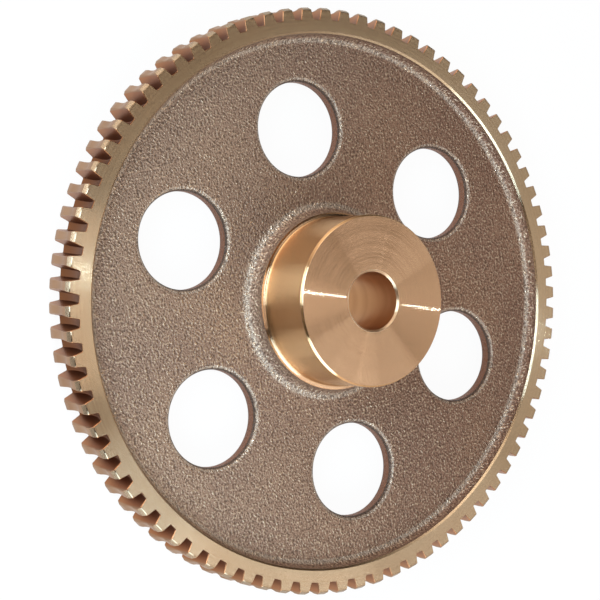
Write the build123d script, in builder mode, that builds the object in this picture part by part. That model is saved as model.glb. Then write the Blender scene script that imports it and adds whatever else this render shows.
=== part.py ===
from build123d import *
import math
import os

# Worm wheel: one bronze casting, machined on the rim, the hub and the bore.
# Millimetres. The origin is on the bore axis in the plane of the back faces,
# +Z runs along the bore to the end of the hub.

# Teeth, cut for a single-start right-hand worm
module = 2.0
tooth_count = 80
worm_pitch_diameter = 24.0
worm_starts = 1
pressure_angle = 14.5
root_clearance = 0.31
backlash = 0.12

# Rim: its wall is measured from the floor of the tooth spaces inwards
face_width = 12.0
rim_wall = 2.6
tip_land_height = 0.4
tip_bevel_width = 1.3
tip_bevel_depth = 0.75
rim_edge_chamfer = 0.5

# Web, recessed from both faces, and the lightening holes in it
recess_depth = 3.6
cast_wall_land = 0.3
hole_count = 6
hub_to_hole = 10.9
hole_to_rim = 12.8
hole_wall_land = 1.8

# Hub and bore: the turned barrel ends in a cast root just above the rim
hub_projection = 19.0
hub_diameter = 47.0
hub_root_rise = 1.2
hub_root_land = 0.9
turning_tool_radius = 1.25
turned_shoulder_land = 0.1
hub_edge_chamfer = 0.5
bore_diameter = 16.0
bore_chamfer = 0.5

# Sizes that follow from the ones above
pitch_radius = module * tooth_count / 2
worm_pitch_radius = worm_pitch_diameter / 2
centre_distance = pitch_radius + worm_pitch_radius
lead_angle = math.degrees(math.atan(module * worm_starts / worm_pitch_diameter))
throat_arc_radius = worm_pitch_radius - module
outside_radius = pitch_radius + module + tip_land_height
gash_radius = worm_pitch_radius + module + root_clearance
gash_half_width = (math.pi * module / 2 + backlash) / 2 * math.cos(math.radians(lead_angle))
mid_plane = face_width / 2
rim_inner_radius = centre_distance - gash_radius - rim_wall
web_bottom = recess_depth
web_top = face_width - recess_depth
web_thickness = web_top - web_bottom
bore_radius = bore_diameter / 2
hub_radius = hub_diameter / 2
hub_length = face_width + hub_projection
hub_root_radius = hub_radius + turning_tool_radius + turned_shoulder_land
hub_root_height = face_width + hub_root_rise
hole_radius = (rim_inner_radius - hole_to_rim - hub_root_radius - hub_to_hole) / 2
hole_circle_radius = hub_root_radius + hub_to_hole + hole_radius
hole_lip_radius = (web_thickness - hole_wall_land) / 2
rim_fillet = recess_depth - rim_edge_chamfer - cast_wall_land
hub_back_fillet = recess_depth - hub_edge_chamfer - cast_wall_land
hub_front_fillet = hub_root_height - web_top - hub_root_land


def flank_half_width(distance):
    """Half the width of the tooth space at a distance from the worm's axis."""
    slope = math.tan(math.radians(pressure_angle))
    return gash_half_width + (worm_pitch_radius - distance) * slope


def corner(section, radius, height):
    """The corner of a half section that lies at a radius and a height."""
    return section.vertices().filter_by(
        lambda v: abs(v.X - radius) < 1e-6 and abs(v.Y - height) < 1e-6
    )


# Path of the worm's thread, the tool that leaves one tooth space
worm_side = Vector(0, math.cos(math.radians(lead_angle)), -math.sin(math.radians(lead_angle)))
worm_centre = Plane(
    origin=(centre_distance, 0, mid_plane),
    x_dir=(1, 0, 0),
    z_dir=Vector(1, 0, 0).cross(worm_side),
)
with BuildPart() as worm_thread:
    with BuildSketch(worm_centre) as thread_section:
        with BuildLine():
            inner = worm_pitch_radius - 3 * module
            Polyline(
                (inner, -flank_half_width(inner)),
                (gash_radius, -flank_half_width(gash_radius)),
                (gash_radius, flank_half_width(gash_radius)),
                (inner, flank_half_width(inner)),
                close=True,
            )
        make_face()
    revolve(axis=Axis(worm_centre.origin, worm_side))

# Blank: rim, web and hub turned from one half section, cast fillets included
with BuildPart() as worm_wheel:
    with BuildSketch(Plane.XZ) as half_section:
        with BuildLine():
            Polyline(
                (rim_inner_radius + rim_edge_chamfer, 0),
                (outside_radius - tip_bevel_depth, 0),
                (outside_radius, tip_bevel_width),
                (outside_radius, face_width - tip_bevel_width),
                (outside_radius - tip_bevel_depth, face_width),
                (rim_inner_radius + rim_edge_chamfer, face_width),
                (rim_inner_radius, face_width - rim_edge_chamfer),
                (rim_inner_radius, rim_edge_chamfer),
                close=True,
            )
        make_face()
        with Locations((bore_radius, web_bottom)):
            Rectangle(rim_inner_radius - bore_radius, web_thickness, align=(Align.MIN, Align.MIN))
        with Locations((bore_radius, 0)):
            Rectangle(hub_root_radius - bore_radius, hub_root_height, align=(Align.MIN, Align.MIN))
            Rectangle(hub_radius - bore_radius, hub_length, align=(Align.MIN, Align.MIN))
        with Locations((centre_distance, mid_plane)):
            Circle(throat_arc_radius, mode=Mode.SUBTRACT)
        for height in (web_bottom, web_top):
            fillet(corner(half_section, rim_inner_radius, height), rim_fillet)
        fillet(corner(half_section, hub_root_radius, web_bottom), hub_back_fillet)
        fillet(corner(half_section, hub_root_radius, web_top), hub_front_fillet)
        fillet(corner(half_section, hub_radius, hub_root_height), turning_tool_radius)
        chamfer(corner(half_section, hub_radius, hub_length), hub_edge_chamfer)
        chamfer(corner(half_section, hub_root_radius, 0), hub_edge_chamfer)
        for height in (0, hub_length):
            chamfer(corner(half_section, bore_radius, height), bore_chamfer)
    revolve(axis=Axis.Z)

    # Lightening holes, with the rounded lips that their cores leave
    with BuildSketch(Plane.XY.offset(web_bottom)):
        with PolarLocations(hole_circle_radius, hole_count):
            Circle(hole_radius)
    extrude(amount=web_thickness, mode=Mode.SUBTRACT)
    lips = worm_wheel.edges().filter_by(GeomType.CIRCLE)
    lips = lips.filter_by(lambda e: abs(e.radius - hole_radius) < 1e-6)
    fillet(lips, hole_lip_radius)

    # Tooth spaces: a thread's path for each tooth, leaning at the lead angle
    with PolarLocations(0, tooth_count, start_angle=180 / tooth_count):
        add(worm_thread.part, mode=Mode.SUBTRACT)

worm_wheel.part.label = "worm_wheel"

os.makedirs("parts", exist_ok=True)
export_step(worm_wheel.part, "parts/worm_wheel.step")
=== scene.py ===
import math

import bmesh
import bpy
import numpy as np
from mathutils import Matrix

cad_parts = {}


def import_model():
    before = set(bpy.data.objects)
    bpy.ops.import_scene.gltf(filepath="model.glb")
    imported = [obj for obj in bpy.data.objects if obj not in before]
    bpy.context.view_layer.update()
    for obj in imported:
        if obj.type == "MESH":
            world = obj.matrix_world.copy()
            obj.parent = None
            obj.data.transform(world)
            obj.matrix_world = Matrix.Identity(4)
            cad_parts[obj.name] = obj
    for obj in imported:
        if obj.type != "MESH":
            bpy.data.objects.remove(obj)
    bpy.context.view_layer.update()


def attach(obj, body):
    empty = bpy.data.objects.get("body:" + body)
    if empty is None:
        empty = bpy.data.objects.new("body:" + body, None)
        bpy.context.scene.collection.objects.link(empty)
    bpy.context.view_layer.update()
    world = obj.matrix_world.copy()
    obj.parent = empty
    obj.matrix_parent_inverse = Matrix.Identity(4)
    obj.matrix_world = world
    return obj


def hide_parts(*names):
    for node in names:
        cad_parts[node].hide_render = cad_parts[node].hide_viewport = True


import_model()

# The wheel's driving sizes in millimetres, the same as in the part's source
MODULE = 2.0
TEETH = 80
WORM_PITCH_RADIUS = 12.0
FLANK_LEAN = math.radians(14.5)
ROOT_CLEARANCE = 0.31
BACKLASH = 0.12
FACE_WIDTH = 12.0
RIM_WALL = 2.6
TIP_LAND = 0.4
BEVEL_WIDTH, BEVEL_DEPTH = 1.3, 0.75
CHAMFER = 0.5
RECESS = 3.6
WALL_LAND = 0.3
HOLES = 6
HUB_TO_HOLE, HOLE_TO_RIM = 10.9, 12.8
HOLE_LAND = 1.8
HUB_PROJECTION = 19.0
HUB_RADIUS = 23.5
HUB_ROOT_RISE, HUB_ROOT_LAND = 1.2, 0.9
TOOL_RADIUS = 1.25
SHOULDER_LAND = 0.1
BORE_RADIUS = 8.0

# What the scene adds to them: broken edges and the rounded roots of the hobbed spaces
EDGE_BREAK = 0.16
ROOT_ROUND = 0.3

# Sizes that follow from the ones above, and the metres in a millimetre
PITCH = 2 * math.pi / TEETH
PITCH_RADIUS = MODULE * TEETH / 2
CENTRE_DISTANCE = PITCH_RADIUS + WORM_PITCH_RADIUS
LEAD = math.atan(MODULE / (2 * WORM_PITCH_RADIUS))
THROAT_RADIUS = WORM_PITCH_RADIUS - MODULE
OUTSIDE_RADIUS = PITCH_RADIUS + MODULE + TIP_LAND
THREAD_INNER = WORM_PITCH_RADIUS - 3 * MODULE
GASH_RADIUS = WORM_PITCH_RADIUS + MODULE + ROOT_CLEARANCE
GASH_HALF_WIDTH = (math.pi * MODULE / 2 + BACKLASH) / 2 * math.cos(LEAD)
MID_PLANE = FACE_WIDTH / 2
RIM_INNER = CENTRE_DISTANCE - GASH_RADIUS - RIM_WALL
WEB_BOTTOM, WEB_TOP = RECESS, FACE_WIDTH - RECESS
HUB_TOP = FACE_WIDTH + HUB_PROJECTION
HUB_ROOT = HUB_RADIUS + TOOL_RADIUS + SHOULDER_LAND
HUB_ROOT_TOP = FACE_WIDTH + HUB_ROOT_RISE
HOLE_RADIUS = (RIM_INNER - HOLE_TO_RIM - HUB_ROOT - HUB_TO_HOLE) / 2
HOLE_CIRCLE = HUB_ROOT + HUB_TO_HOLE + HOLE_RADIUS
HOLE_LIP = (WEB_TOP - WEB_BOTTOM - HOLE_LAND) / 2
SMALL_FILLET = RECESS - CHAMFER - WALL_LAND
FRONT_FILLET = HUB_ROOT_TOP - WEB_TOP - HUB_ROOT_LAND
MM = 0.001

# Fineness of the grids: columns round the wheel, steps along a straight side of a web's sixth,
# rings of the web round a hole, points along a flank and along its root, and halvings of a search
COLUMNS = 360
SIDE_STEPS = 30
WEB_RINGS = 6
FLANK_POINTS = 4
HALVINGS = 40

# Rings that split the flat and straight turned faces, as radii or heights in millimetres
TEETH_RING, EVEN_RING, RIM_FACE_RING = 78.2, 77.4, 76.4
BARREL_RINGS = (20.0, 26.0)
END_FACE_RINGS = (18.0, 13.0)
BORE_RINGS = (24.0, 16.0, 8.0)
BACK_FACE_RING = 16.0

# Angles of the even columns and of the six holes, in radians
EVEN_ANGLES = np.arange(COLUMNS) * 2 * math.pi / COLUMNS
ROUND = EVEN_ANGLES - math.pi / HOLES
SIXTHS = np.arange(HOLES) * 2 * math.pi / HOLES

# Edges sharper than this stay sharp in the shading, and points nearer than this, in metres, merge
SHARP_ANGLE = math.radians(26)
MERGE_DISTANCE = 2e-7

# Places of the finishes in the list of materials
CAST, TURNED, HOBBED, BORED = range(4)

# The picture's own directions on the lying wheel: right, up and towards the hub's nose
TURN = math.radians(-100.6)
RIGHT = np.array([math.cos(TURN), math.sin(TURN), 0.0])
UP = np.array([-math.sin(TURN), math.cos(TURN), 0.0])
OUT = np.array([0.0, 0.0, 1.0])


# Shapes

def arc(centre, radius, start, end, steps):
    """Points (r, z) of an arc: centre + radius (cos a, sin a), with a from start to end in degrees."""
    a = np.radians(np.linspace(start, end, steps + 1))
    return np.stack([centre[0] + radius * np.cos(a), centre[1] + radius * np.sin(a)], 1)


def turned(section, angles, centre=(0.0, 0.0)):
    """A section of points (r, z) carried round an upright axis: x = cx + r cos a, y = cy + r sin a."""
    section = np.asarray(section, float)
    r, z = section[:, 0, None], section[:, 1, None]
    x = centre[0] + r * np.cos(angles)
    y = centre[1] + r * np.sin(angles)
    return np.stack([x, y, z + 0 * x], 2)


def mirrored(section):
    """The same section (r, z) on the back of the wheel: z becomes face width - z."""
    return np.asarray(section) * [1, -1] + [0, FACE_WIDTH]


def blank_radius(z):
    """Outside of the uncut rim at a height: the land, lowered by the two bevels and by the throat's arc."""
    from_face = np.minimum(z, FACE_WIDTH - z)
    bevelled = OUTSIDE_RADIUS - BEVEL_DEPTH * np.clip(1 - from_face / BEVEL_WIDTH, 0, 1)
    across = np.clip(THROAT_RADIUS ** 2 - (z - MID_PLANE) ** 2, 0, None)
    return np.minimum(bevelled, CENTRE_DISTANCE - np.sqrt(across))


def on_cutter(side, half_width, distance, z):
    """Radius and angle of the cutter's skin where a level plane z meets it.

    The worm's axis leans by LEAD. A point at axial place s = side * half_width and at a distance
    from that axis has y = (s + (z - mid) sin L) / cos L and, with t = y sin L + (z - mid) cos L,
    x = centre distance - sqrt(distance^2 - t^2).
    """
    up = z - MID_PLANE
    y = (side * half_width + up * math.sin(LEAD)) / math.cos(LEAD)
    t = y * math.sin(LEAD) + up * math.cos(LEAD)
    x = CENTRE_DISTANCE - np.sqrt(distance ** 2 - t ** 2)
    return np.hypot(x, y), np.arctan2(y, x)


def half_space(side, z, grow):
    """Radii and angles of one side of a tooth space on every level: floor, rounded root, flank
    and broken tip edge. The space is wider all round by grow, which breaks its edges on the faces.

    In the cutter's own section the flank's half width is gash half width + (worm pitch radius -
    distance) * tan(lean), and the root is an arc that touches floor and flank. The tip is found by
    halving the interval in which the flank crosses the blank's radius.
    """
    floor = GASH_RADIUS + grow

    def width(distance):
        """Half width of the space at a distance from the worm's axis."""
        return GASH_HALF_WIDTH + grow + (WORM_PITCH_RADIUS - distance) * math.tan(FLANK_LEAN)

    def flank_at(target):
        """Distance at which the flank reaches the target radius."""
        low = np.full_like(z, THREAD_INNER)
        high = np.full_like(z, GASH_RADIUS - ROOT_ROUND * math.tan(math.pi / 4 - FLANK_LEAN / 2))
        for _ in range(HALVINGS):
            half = (low + high) / 2
            above = on_cutter(side, width(half), half, z)[0] > target
            low, high = np.where(above, half, low), np.where(above, high, half)
        return (low + high) / 2

    turns = np.linspace(0, math.pi / 2 - FLANK_LEAN, FLANK_POINTS)
    root_centre = width(floor - ROOT_ROUND) - ROOT_ROUND / math.cos(FLANK_LEAN)
    root_width = root_centre + ROOT_ROUND * np.sin(turns)
    root_depth = floor - ROOT_ROUND + ROOT_ROUND * np.cos(turns)
    tip = blank_radius(z) - grow
    share = np.linspace(0, 1, FLANK_POINTS)[1:]
    flank_start = root_depth[:, -1:]
    flank_depth = flank_start + (flank_at(tip - EDGE_BREAK) - flank_start) * share
    zero = np.zeros_like(z)
    widths = np.concatenate([zero, root_width, width(flank_depth)], 1)
    depths = np.concatenate([floor + zero, root_depth, flank_depth], 1)
    r, a = on_cutter(side, widths, depths, z)
    tip_depth = flank_at(tip)
    tip_angle = on_cutter(side, width(tip_depth), tip_depth, z)[1] + side * EDGE_BREAK / tip
    return np.concatenate([r, tip], 1), np.concatenate([a, tip_angle], 1)


def tooth_levels():
    """Heights of the levels through the rim, close together on both sides of each break in its
    outline: the bevel's inner edge and the throat's edge, which lies where the arc meets the land."""
    throat_edge = MID_PLANE - math.sqrt(THROAT_RADIUS ** 2 - (CENTRE_DISTANCE - OUTSIDE_RADIUS) ** 2)
    hair = 0.04
    low = np.array([
        0, EDGE_BREAK, 0.7, BEVEL_WIDTH - hair, BEVEL_WIDTH + hair, 2.2,
        throat_edge - hair, throat_edge + hair, 4.0, 4.8, 5.4,
    ])
    return np.concatenate([low, [MID_PLANE], FACE_WIDTH - low[::-1]])


def toothed_rim():
    """Grid of levels by columns round the wheel, with its angles and finishes. A pitch runs from
    the middle of a space over its plus flank, the tooth's land and the next space's minus flank."""
    z = tooth_levels()[:, None]
    grow = np.where((z <= 0) | (z >= FACE_WIDTH), EDGE_BREAK, 0.0)
    r_plus, a_plus = half_space(1, z, grow)
    r_minus, a_minus = half_space(-1, z, grow)
    r = np.concatenate([r_plus, r_minus[:, :0:-1]], 1)
    a = np.concatenate([a_plus, a_minus[:, :0:-1] + PITCH], 1)
    finishes = np.full((len(z) - 1, r.shape[1]), HOBBED)
    bevel = (z[1:, 0] < BEVEL_WIDTH) | (z[:-1, 0] > FACE_WIDTH - BEVEL_WIDTH)
    finishes[bevel, r_plus.shape[1] - 1] = TURNED
    starts = PITCH * (np.arange(TEETH) + 0.5)
    a = (starts[None, :, None] + a[:, None, :]).reshape(len(z), -1)
    r = np.tile(r, (1, TEETH))
    return np.stack([r * np.cos(a), r * np.sin(a), z + 0 * a], 2), a, np.tile(finishes, (1, TEETH))


def web_side(z, inner, outer):
    """Flat web round the six holes, and the angles of the columns round a hole. In each sixth,
    straight lines run out from the hole's lip to the sixth's border, point = lip +
    (border - lip) * t, with t from 0 to 1 and closer near the lip."""
    across = np.linspace(-math.pi / HOLES, math.pi / HOLES, COLUMNS // HOLES + 1)
    side = np.linspace(outer, inner, SIDE_STEPS + 1)
    steps = len(across) - 1
    straight = np.ones(SIDE_STEPS)
    angles = np.concatenate([across[:-1], straight * across[-1], across[:0:-1], straight * across[0]])
    radii = np.concatenate([np.full(steps, outer), side[:-1], np.full(steps, inner), side[:0:-1]])
    border = np.stack([radii * np.cos(angles), radii * np.sin(angles)], 1)
    hole = np.array([HOLE_CIRCLE, 0])
    from_hole = border - hole
    lip_angles = np.arctan2(from_hole[:, 1], from_hole[:, 0])
    lip = hole + (HOLE_RADIUS + HOLE_LIP) * np.stack([np.cos(lip_angles), np.sin(lip_angles)], 1)
    t = np.linspace(0, 1, WEB_RINGS)[:, None, None] ** 1.4
    flat = lip + (border - lip) * t
    grids = []
    for turn in SIXTHS:
        x = flat[..., 0] * math.cos(turn) - flat[..., 1] * math.sin(turn)
        y = flat[..., 0] * math.sin(turn) + flat[..., 1] * math.cos(turn)
        grids.append(np.stack([x, y, z + 0 * x], 2))
    return grids, lip_angles


class Shell:
    """Patches of one closed skin, in millimetres, with a finish for each face."""

    def __init__(self):
        self.points, self.quads, self.triangles = [], [], []
        self.quad_finishes, self.triangle_finishes = [], []
        self.count = 0

    def add(self, points):
        """Takes points in and gives the number of the first one."""
        start = self.count
        self.points.append(points.reshape(-1, 3))
        self.count += len(self.points[-1])
        return start

    def grid(self, points, finishes):
        """Quads between neighbouring rows of a grid whose columns close into a ring. The finish is
        one for all, or one for each quad."""
        rows, columns = points.shape[:2]
        index = self.add(points) + np.arange(rows * columns).reshape(rows, columns)
        after = np.roll(index, -1, 1)
        self.quads.append(np.stack([index[:-1], after[:-1], after[1:], index[1:]], -1).reshape(-1, 4))
        self.quad_finishes.append(np.broadcast_to(finishes, (rows - 1, columns)).reshape(-1))

    def strip(self, ring_a, angles_a, ring_b, angles_b, finish):
        """Triangles between two rings with different columns, both sorted by angle. The edges are
        taken in the order of their end angles, and each one's third corner is the last point
        passed on the other ring."""
        n, m = len(ring_a), len(ring_b)
        first = self.add(ring_a)
        second = self.add(ring_b)
        passed_b = np.searchsorted(angles_b[1:], angles_a[1:], "left")
        passed_a = np.searchsorted(angles_a[1:], angles_b[1:], "right")
        i, j = np.arange(n), np.arange(m)
        from_a = np.stack([first + i, first + (i + 1) % n, second + np.append(passed_b, m) % m], 1)
        from_b = np.stack([second + (j + 1) % m, second + j, first + np.append(passed_a, n - 1) % n], 1)
        self.triangles += [from_a, from_b]
        self.triangle_finishes.append(np.full(n + m, finish))

    def piece(self, name, materials):
        """One object from all patches, with seams merged and normals turned outwards. It prints
        how many edges stay open, which is 0 for a closed skin."""
        mesh = bpy.data.meshes.new(name)
        points = np.concatenate(self.points) * MM
        faces = np.concatenate(self.quads).tolist() + np.concatenate(self.triangles).tolist()
        mesh.from_pydata(points.tolist(), [], faces)
        finishes = np.concatenate(self.quad_finishes + self.triangle_finishes).astype(np.int32)
        mesh.polygons.foreach_set("material_index", finishes)
        work = bmesh.new()
        work.from_mesh(mesh)
        bmesh.ops.remove_doubles(work, verts=work.verts, dist=MERGE_DISTANCE)
        bmesh.ops.recalc_face_normals(work, faces=work.faces)
        open_edges = sum(not e.is_manifold for e in work.edges)
        print(name, "open edges", open_edges, "triangles", sum(len(f.verts) - 2 for f in work.faces))
        work.to_mesh(mesh)
        work.free()
        mesh.polygons.foreach_set("use_smooth", np.ones(len(mesh.polygons), bool))
        mesh.set_sharp_from_angle(angle=SHARP_ANGLE)
        for material in materials:
            mesh.materials.append(material)
        made = bpy.data.objects.new(name, mesh)
        bpy.context.scene.collection.objects.link(made)
        return made


def add_teeth_and_faces(shell):
    """Teeth, and both machined faces: quads straight in from the teeth to one ring, then a strip
    to a second ring that has the even columns of the rest."""
    teeth, angles, finishes = toothed_rim()
    shell.grid(teeth, finishes)
    for row, z in ((-1, FACE_WIDTH), (0, 0.0)):
        base = turned([(TEETH_RING, z)], angles[row])[0]
        shell.grid(np.stack([teeth[row], base]), TURNED)
        base_angles = angles[row] % (2 * math.pi)
        order = np.argsort(base_angles)
        even = turned([(EVEN_RING, z)], EVEN_ANGLES)[0]
        shell.strip(base[order], base_angles[order], even, EVEN_ANGLES, TURNED)
    edge = [(r, FACE_WIDTH) for r in (EVEN_RING, RIM_FACE_RING, RIM_INNER + CHAMFER)]
    edge.append((RIM_INNER, FACE_WIDTH - CHAMFER))
    shell.grid(turned(edge, ROUND), TURNED)
    shell.grid(turned(mirrored(edge), ROUND), TURNED)


def add_rim_wall_and_web(shell):
    """Cast inside of the rim with its fillets, the web, and the holes with their rounded lips."""
    centre = (RIM_INNER - SMALL_FILLET, WEB_TOP + SMALL_FILLET)
    wall = np.concatenate([[(RIM_INNER, FACE_WIDTH - CHAMFER)], arc(centre, SMALL_FILLET, 0, -90, 7)])
    shell.grid(turned(wall, ROUND), CAST)
    shell.grid(turned(mirrored(wall), ROUND), CAST)
    front, front_angles = web_side(WEB_TOP, HUB_ROOT + FRONT_FILLET, RIM_INNER - SMALL_FILLET)
    back, back_angles = web_side(WEB_BOTTOM, HUB_ROOT + SMALL_FILLET, RIM_INNER - SMALL_FILLET)
    for patch in front + back:
        shell.grid(patch, CAST)
    lip = arc((HOLE_RADIUS + HOLE_LIP, WEB_TOP - HOLE_LIP), HOLE_LIP, 90, 180, 6)
    lip = np.concatenate([lip, [(HOLE_RADIUS, MID_PLANE)]])
    for turn in SIXTHS:
        hole = (HOLE_CIRCLE * math.cos(turn), HOLE_CIRCLE * math.sin(turn))
        front_half = turned(lip, front_angles + turn, hole)
        back_half = turned(mirrored(lip), back_angles + turn, hole)
        back_half[-1] = front_half[-1]
        shell.grid(front_half, CAST)
        shell.grid(back_half, CAST)


def add_hub(shell):
    """Cast root, turned barrel that ends on it in a small flare, both ends, and the bore."""
    centre = (HUB_ROOT + FRONT_FILLET, WEB_TOP + FRONT_FILLET)
    root = np.concatenate([arc(centre, FRONT_FILLET, 270, 180, 9), [(HUB_ROOT, HUB_ROOT_TOP)]])
    shell.grid(turned(root, ROUND), CAST)
    flare = arc((HUB_RADIUS + TOOL_RADIUS, HUB_ROOT_TOP + TOOL_RADIUS), TOOL_RADIUS, 270, 180, 8)
    barrel = [(HUB_RADIUS, z) for z in (*BARREL_RINGS, HUB_TOP - CHAMFER)]
    end_face = [(r, HUB_TOP) for r in (HUB_RADIUS - CHAMFER, *END_FACE_RINGS, BORE_RADIUS + CHAMFER)]
    mouth = [(BORE_RADIUS, HUB_TOP - CHAMFER)]
    front = np.concatenate([[(HUB_ROOT, HUB_ROOT_TOP)], flare, barrel, end_face, mouth])
    shell.grid(turned(front, ROUND), TURNED)
    bore = [(BORE_RADIUS, z) for z in (HUB_TOP - CHAMFER, *BORE_RINGS, CHAMFER)]
    shell.grid(turned(bore, ROUND), BORED)
    back_face = [(r, 0) for r in (BORE_RADIUS + CHAMFER, BACK_FACE_RING, HUB_ROOT - CHAMFER)]
    back = [(BORE_RADIUS, CHAMFER), *back_face, (HUB_ROOT, CHAMFER)]
    shell.grid(turned(back, ROUND), TURNED)
    centre = (HUB_ROOT + SMALL_FILLET, WEB_BOTTOM - SMALL_FILLET)
    back_root = np.concatenate([[(HUB_ROOT, CHAMFER)], arc(centre, SMALL_FILLET, 180, 90, 7)])
    shell.grid(turned(back_root, ROUND), CAST)


def wheel_shell():
    """The whole wheel as one closed skin."""
    shell = Shell()
    add_teeth_and_faces(shell)
    add_rim_wall_and_web(shell)
    add_hub(shell)
    return shell


# Finishes

class Value:
    """One output socket. Sums, products and powers written on it add Math nodes."""

    def __init__(self, tree, socket=None):
        self.tree, self.socket = tree, socket

    def node(self, kind, settings, sockets, output=0):
        """Any node: its settings first, then the values or links of its sockets."""
        made = self.tree.nodes.new(kind)
        for name, setting in settings.items():
            setattr(made, name, setting)
        for key, given in sockets.items():
            if isinstance(given, Value):
                self.tree.links.new(given.socket, made.inputs[key])
            else:
                made.inputs[key].default_value = given
        return Value(self.tree, made.outputs[output])

    def math(self, operation, *values):
        """Math on plain numbers."""
        return self.node("ShaderNodeMath", {"operation": operation}, dict(enumerate(values)))

    def vector(self, operation, *values, output=0):
        """Vector Math. The plain number of a dot product is output 1."""
        return self.node("ShaderNodeVectorMath", {"operation": operation}, dict(enumerate(values)), output)

    def __add__(self, other):
        return self.math("ADD", self, other)

    __radd__ = __add__

    def __mul__(self, other):
        return self.math("MULTIPLY", self, other)

    __rmul__ = __mul__

    def __sub__(self, other):
        return self.math("SUBTRACT", self, other)

    def __rsub__(self, other):
        return self.math("SUBTRACT", other, self)

    def __pow__(self, other):
        return self.math("POWER", self, other)

    def step(self, low, high):
        """0 below low, 1 above high, smooth between. With low over high it falls instead."""
        sockets = {"Value": self, "From Min": low, "From Max": high}
        return self.node("ShaderNodeMapRange", {"interpolation_type": "SMOOTHSTEP"}, sockets)

    def blend(self, first, second):
        """Colour that goes from the first to the second as this value goes from 0 to 1."""
        sockets = {0: self, 6: first, 7: second}
        return self.node("ShaderNodeMix", {"data_type": "RGBA"}, sockets, 2)


def colour(red, green, blue):
    """A screen colour from 0 to 255, as the linear light that sockets take."""
    c = np.array([red, green, blue]) / 255
    linear = np.where(c <= 0.04045, c / 12.92, ((c + 0.055) / 1.055) ** 2.4)
    return (*linear.tolist(), 1.0)


def new_finish(name):
    """A new material, its shader node and its coordinates in metres."""
    made = bpy.data.materials.new(name)
    made.use_nodes = True
    place = Value(made.node_tree).node("ShaderNodeTexCoord", {}, {}, "Object")
    return made, made.node_tree.nodes["Principled BSDF"], place


def noise(place, scale, detail, roughness=0.5, stretch=(1.0, 1.0, 1.0), shift=0.0):
    """Noise with about one bump in 1/scale metres along each axis, over its stretch."""
    sockets = {"Vector": place, "Scale": stretch, "Location": (shift, shift, shift)}
    placed = place.node("ShaderNodeMapping", {}, sockets)
    sockets = {"Vector": placed, "Scale": scale, "Detail": detail, "Roughness": roughness}
    return place.node("ShaderNodeTexNoise", {}, sockets)


def parts_of(place):
    """x, y, z and the distance from the bore's axis."""
    x, y, z = [place.node("ShaderNodeSeparateXYZ", {}, {0: place}, i) for i in range(3)]
    return x, y, z, (x * x + y * y) ** 0.5


def connect(shader, **links):
    """Links values to the shader's sockets by name."""
    for name, value in links.items():
        value.tree.links.new(value.socket, shader.inputs[name.replace("_", " ")])


def cast_skin():
    """Sand-cast bronze: a skin of close grains of half a millimetre. Painted light and shade: it is
    painted greyer and lighter on the picture's left and browner and darker on its right. The grains are
    pale and shiny where they are rubbed, on their tops, and dark in the pits. The rounded slopes are
    painted pale and silvery, partly rubbed wear and partly a painted sheen. The lips of the holes are
    painted dark where they turn down into the holes, a painted shade, and the walls reddish brown."""
    made, shader, place = new_finish("cast_skin")
    x, y, z, _ = parts_of(place)
    broad = noise(place, 38, 2, shift=7.0)
    # Painted light and shade: lighter and greyer towards the picture's left, where the lamps light the
    # wheel, and darker and browner towards its right, which gets dimmer, warmer light
    across = x * RIGHT[0] + y * RIGHT[1] + (broad - 0.5) * 0.03
    lit_side_grey = broad.step(0.3, 0.7).blend(colour(138, 111, 94), colour(148, 120, 100))
    brown = broad.step(0.3, 0.7).blend(colour(122, 89, 71), colour(132, 98, 77))
    base = across.step(-0.06, 0.055).blend(lit_side_grey, brown)

    height = noise(place, 1550, 1) * 0.78 + noise(place, 780, 1, shift=3.0) * 0.22
    tops = height.step(0.52, 0.64)
    pits = height.step(0.47, 0.35)
    facing = place.node("ShaderNodeNewGeometry", {}, {}, "Normal")
    facing = place.math("ABSOLUTE", place.node("ShaderNodeSeparateXYZ", {}, {0: facing}, 2))
    slopes = facing.step(0.995, 0.95) * facing.step(0.68, 0.85)
    from_middle = z.math("ABSOLUTE", z - MID_PLANE * MM)
    # Partly rubbed wear, partly a painted sheen: the rounded slopes of fillets and lips are painted pale
    # and silvery
    base = (slopes * 0.38).blend(base, colour(196, 184, 168))
    base = (tops * 0.6).blend(base, colour(206, 186, 162))
    base = (pits * 0.7).blend(base, colour(76, 56, 43))
    # Painted shade: the lips of the holes are painted dark where they turn down into the holes, and the
    # straight walls reddish brown
    base = (from_middle.step(0.0022, 0.00175) * 0.85).blend(base, colour(58, 43, 34))
    base = from_middle.step(0.0015, 0.001).blend(base, colour(122, 80, 58))
    normal = place.node("ShaderNodeBump", {}, {"Height": height, "Strength": 1.0, "Distance": 0.00072})
    rough = 0.5 - tops * 0.18 - slopes * 0.16
    connect(shader, Base_Color=base, Normal=normal, Roughness=rough, Metallic=0.4 + tops * 0.5)
    return made


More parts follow.
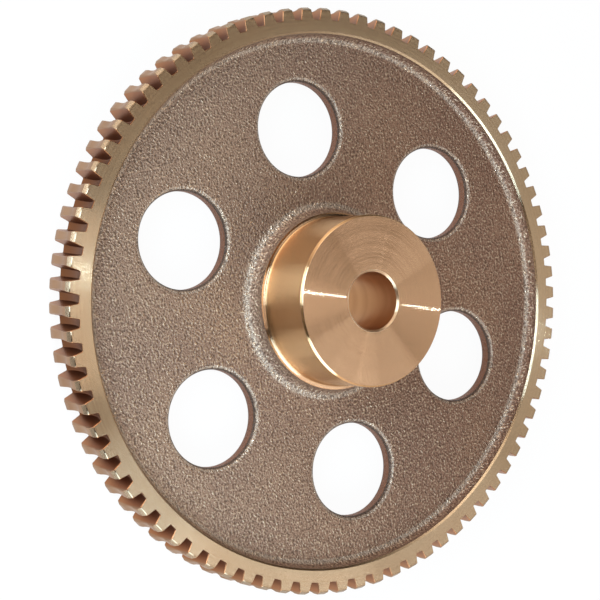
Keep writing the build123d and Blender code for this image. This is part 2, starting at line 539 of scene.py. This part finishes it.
def turned_face():
    """Lathe-turned bronze. Its rings are far finer than a pixel, 22 to the millimetre. Each one
    tilts the normal inwards or outwards only, by a slope that runs evenly through the ring, so a
    small lamp shows as a thin bright line across the rings and a large one as a soft wedge."""
    made, shader, place = new_finish("turned_face")
    _, _, z, radius = parts_of(place)
    along = place.node("ShaderNodeCombineXYZ", {}, {0: radius, 1: z})
    wander = noise(along, 2500, 1, shift=9.0)
    rings = place.math("FRACT", (radius + z) * 22000 + wander * 2.5)
    feed = noise(along, 1300, 1, shift=2.0)
    cloud = noise(place, 45, 3, shift=5.0)
    rim = radius.step(0.04, 0.06)
    barrel = radius.step(0.0242, 0.0236) * z.step(0.012, 0.013) * radius.step(0.0228, 0.0233)
    bevels = radius.step(0.0812, 0.0815)
    bore_mouths = radius.step(0.0088, 0.0084)
    base = rim.blend(colour(208, 174, 142), colour(196, 176, 148))
    base = barrel.blend(base, colour(216, 174, 128))
    # Painted shade: the bevels are painted darker than the rim's face, which holds down their reflection of
    # the white floor
    base = bevels.blend(base, colour(172, 154, 130))
    base = (feed.step(0.45, 0.75) * (rim * 0.2 + 0.1)).blend(base, colour(170, 136, 104))
    base = (cloud.step(0.45, 0.75) * 0.15).blend(base, colour(190, 150, 112))
    # Partly the bare metal of a deburred edge, partly a painted highlight: the bore's mouths are painted a
    # pale cream
    base = (bore_mouths * 0.7).blend(base, colour(236, 206, 172))
    tangent = place.node("ShaderNodeTangent", {"direction_type": "RADIAL", "axis": "Z"}, {})
    flat = place.node("ShaderNodeNewGeometry", {}, {}, "Normal")
    slope = (rings - 0.5) * 0.6 + (feed - 0.5) * 0.1
    tilt = place.vector("MULTIPLY", place.vector("CROSS_PRODUCT", tangent, flat), slope)
    normal = place.vector("NORMALIZE", place.vector("ADD", flat, tilt))
    rough = 0.075 + cloud * 0.02 + barrel * 0.14 + rim * 0.1 + bore_mouths * 0.3
    connect(shader, Base_Color=base, Normal=normal, Roughness=rough)
    shader.inputs["Metallic"].default_value = 1.0
    shader.inputs["Anisotropic"].default_value = 1.0
    shader.inputs["Anisotropic Rotation"].default_value = 0.25
    return made


def hobbed_teeth():
    """Hobbed bronze: tan on the lands, with a painted shade in the tooth spaces: coppery on the flanks and
    dark brown on the floors.
    """
    made, shader, place = new_finish("hobbed_teeth")
    _, _, _, radius = parts_of(place)
    marks = noise(place, 1500, 2, 0.6, stretch=(1, 1, 3))
    cloud = noise(place, 120, 2)
    flanks, floors = radius.step(0.082, 0.0815), radius.step(0.0815, 0.0785)
    base = cloud.step(0.3, 0.7).blend(colour(176, 142, 114), colour(164, 128, 100))
    # Painted shade: the colour darkens to copper down the flanks and to dark brown on the floors of the
    # tooth spaces
    base = (flanks * 0.8).blend(base, colour(170, 112, 72))
    base = (floors * 0.8).blend(base, colour(108, 68, 44))
    normal = place.node("ShaderNodeBump", {}, {"Height": marks, "Strength": 0.2, "Distance": 0.00003})
    connect(shader, Base_Color=base, Normal=normal, Roughness=0.34 + marks * 0.12)
    shader.inputs["Metallic"].default_value = 1.0
    return made


def bored():
    """The reamed bore: brown, with a few lighter rings."""
    made, shader, place = new_finish("bored")
    bands = noise(place, 260, 1, stretch=(0.2, 0.2, 1))
    base = bands.step(0.35, 0.65).blend(colour(178, 130, 88), colour(190, 142, 98))
    connect(shader, Base_Color=base, Roughness=0.4 - bands * 0.1)
    shader.inputs["Metallic"].default_value = 1.0
    return made


# Room, lamps and camera

# Soft glows of the room, which is dark between them: azimuth and elevation in degrees along the
# picture's directions, how narrow they are, and strength
ROOM_TINT = (1.0, 0.88, 0.76, 1.0)
GLOWS = [
    (0, 20, 14, 0.9),
    (108, 12, 8, 3.4),
    (150, 2, 14, 3.4),
    (258, 14, 10, 1.6),
    (315, 12, 6, 0.52),
    (300, 50, 6, 0.4),
]

# Lamps: name, place along the picture's directions in metres, diameter, watts and tint
COOL, NEUTRAL, MILD, WARM = (0.74, 1.0, 1.2), (1.0, 1.0, 1.0), (1.0, 0.88, 0.78), (1.0, 0.8, 0.62)
LAMPS = [
    ("key", (0.144, 0.0425, 0.9), 0.016, 0.14, COOL),
    ("window", (-0.43, 0.13, 0.3), 0.35, 2.15, COOL),
    ("near_left", (-0.12, -0.3, 0.24), 0.3, 1.1, COOL),
    ("low_panel", (0.3, -0.5, 0.6), 0.5, 0.62, NEUTRAL),
    ("above", (-0.1, 0.0, 0.6), 0.3, 0.42, MILD),
    ("low", (0.2, -0.25, 0.6), 0.3, 0.17, NEUTRAL),
    ("middle", (0.2, 0.0, 0.6), 0.3, 0.08, NEUTRAL),
    ("low_right", (0.5, -0.3, 0.55), 0.34, 0.26, NEUTRAL),
    ("right", (0.5, 0.0, 0.6), 0.3, 0.13, WARM),
]

# The camera as fitted to the picture: places and upward direction along the picture's directions
CAMERA_PLACE = (-0.266076, -0.000566, 0.401414)
CAMERA_TARGET = (-0.011532, 0.000272, 0.012)
CAMERA_UP = (0.0, 1.0, 0.00179)
CAMERA_SENSOR, CAMERA_LENS = 36.0, 100.609

# The floor: half its side in metres, its colour, and the share of white glow that is seen of it
FLOOR_HALF = 3.0
FLOOR_COLOUR = (0.9, 0.9, 0.9, 1.0)
FLOOR_WHITE = 0.95


def picture(right, up, out):
    """A place or direction given along the picture's directions, in metres in the wheel's frame."""
    return right * RIGHT + up * UP + out * OUT


def aim(made, place, target, up):
    """Puts a camera or lamp at a place, looking along -Z at the target with its Y near up."""
    back = place - target
    back = back / np.linalg.norm(back)
    side = np.cross(up, back)
    side = side / np.linalg.norm(side)
    matrix = np.eye(4)
    matrix[:3, 0], matrix[:3, 1], matrix[:3, 2], matrix[:3, 3] = side, np.cross(back, side), back, place
    made.matrix_world = Matrix(matrix.tolist())


def lamp(name, place, diameter, power, tint):
    """A round soft lamp, turned to the wheel."""
    light = bpy.data.lights.new(name, "AREA")
    light.shape = "DISK"
    light.size = diameter
    light.energy = power
    light.color = tint
    made = bpy.data.objects.new(name, light)
    bpy.context.scene.collection.objects.link(made)
    aim(made, place, picture(0, 0, 0), UP)


def camera():
    """The scene's camera."""
    data = bpy.data.cameras.new("camera")
    data.sensor_width = CAMERA_SENSOR
    data.lens = CAMERA_LENS
    made = bpy.data.objects.new("camera", data)
    bpy.context.scene.collection.objects.link(made)
    aim(made, picture(*CAMERA_PLACE), picture(*CAMERA_TARGET), picture(*CAMERA_UP))
    bpy.context.scene.camera = made


def floor():
    """Pale floor. The camera, and what shines or is clear, see it white with a little of the
    wheel's shadow: the share FLOOR_WHITE of plain white glow, and the rest the lit floor."""
    mesh = bpy.data.meshes.new("floor")
    corners = [(-1, -1), (1, -1), (1, 1), (-1, 1)]
    mesh.from_pydata([(x * FLOOR_HALF, y * FLOOR_HALF, 0) for x, y in corners], [], [(0, 1, 2, 3)])
    made = bpy.data.objects.new("floor", mesh)
    bpy.context.scene.collection.objects.link(made)
    material = bpy.data.materials.new("white_floor")
    material.use_nodes = True
    tree = material.node_tree
    tree.nodes.clear()
    start = Value(tree)
    rays = [start.node("ShaderNodeLightPath", {}, {}, kind + " Ray")
            for kind in ("Is Camera", "Is Glossy", "Is Transmission")]
    seen = start.math("MINIMUM", rays[0] + rays[1] + rays[2], 1.0)
    shade = start.node("ShaderNodeBsdfDiffuse", {}, {"Color": FLOOR_COLOUR})
    glow = start.node("ShaderNodeEmission", {}, {"Color": (1, 1, 1, 1), "Strength": 1.0})
    mixed = start.node("ShaderNodeMixShader", {}, {0: seen * FLOOR_WHITE, 1: shade, 2: glow})
    out = tree.nodes.new("ShaderNodeOutputMaterial")
    tree.links.new(mixed.socket, out.inputs["Surface"])
    mesh.materials.append(material)
    return made


def world():
    """The room: strength = the sum of glow * (cosine of the angle to the glow's middle) ^ narrow."""
    made = bpy.data.worlds.new("room")
    bpy.context.scene.world = made
    made.use_nodes = True
    tree = made.node_tree
    tree.nodes.clear()
    start = Value(tree)
    direction = start.node("ShaderNodeTexCoord", {}, {}, "Generated")
    level = 0.0
    for azimuth, elevation, narrow, glow in GLOWS:
        a, e = math.radians(azimuth), math.radians(elevation)
        middle = picture(math.cos(e) * math.cos(a), math.cos(e) * math.sin(a), math.sin(e))
        cosine = start.vector("DOT_PRODUCT", direction, tuple(middle.tolist()), output=1)
        level = level + (start.math("MAXIMUM", cosine, 0.0) ** narrow) * glow
    light = start.node("ShaderNodeBackground", {}, {"Color": ROOM_TINT, "Strength": level})
    out = tree.nodes.new("ShaderNodeOutputWorld")
    tree.links.new(light.socket, out.inputs["Surface"])


wheel = wheel_shell().piece("worm_wheel_skin", [cast_skin(), turned_face(), hobbed_teeth(), bored()])
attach(wheel, "root")
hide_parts("worm_wheel")
floor()
world()
camera()
for name, place, diameter, power, tint in LAMPS:
    lamp(name, picture(*place), diameter, power, tint)

bpy.context.scene.view_settings.view_transform = "Standard"
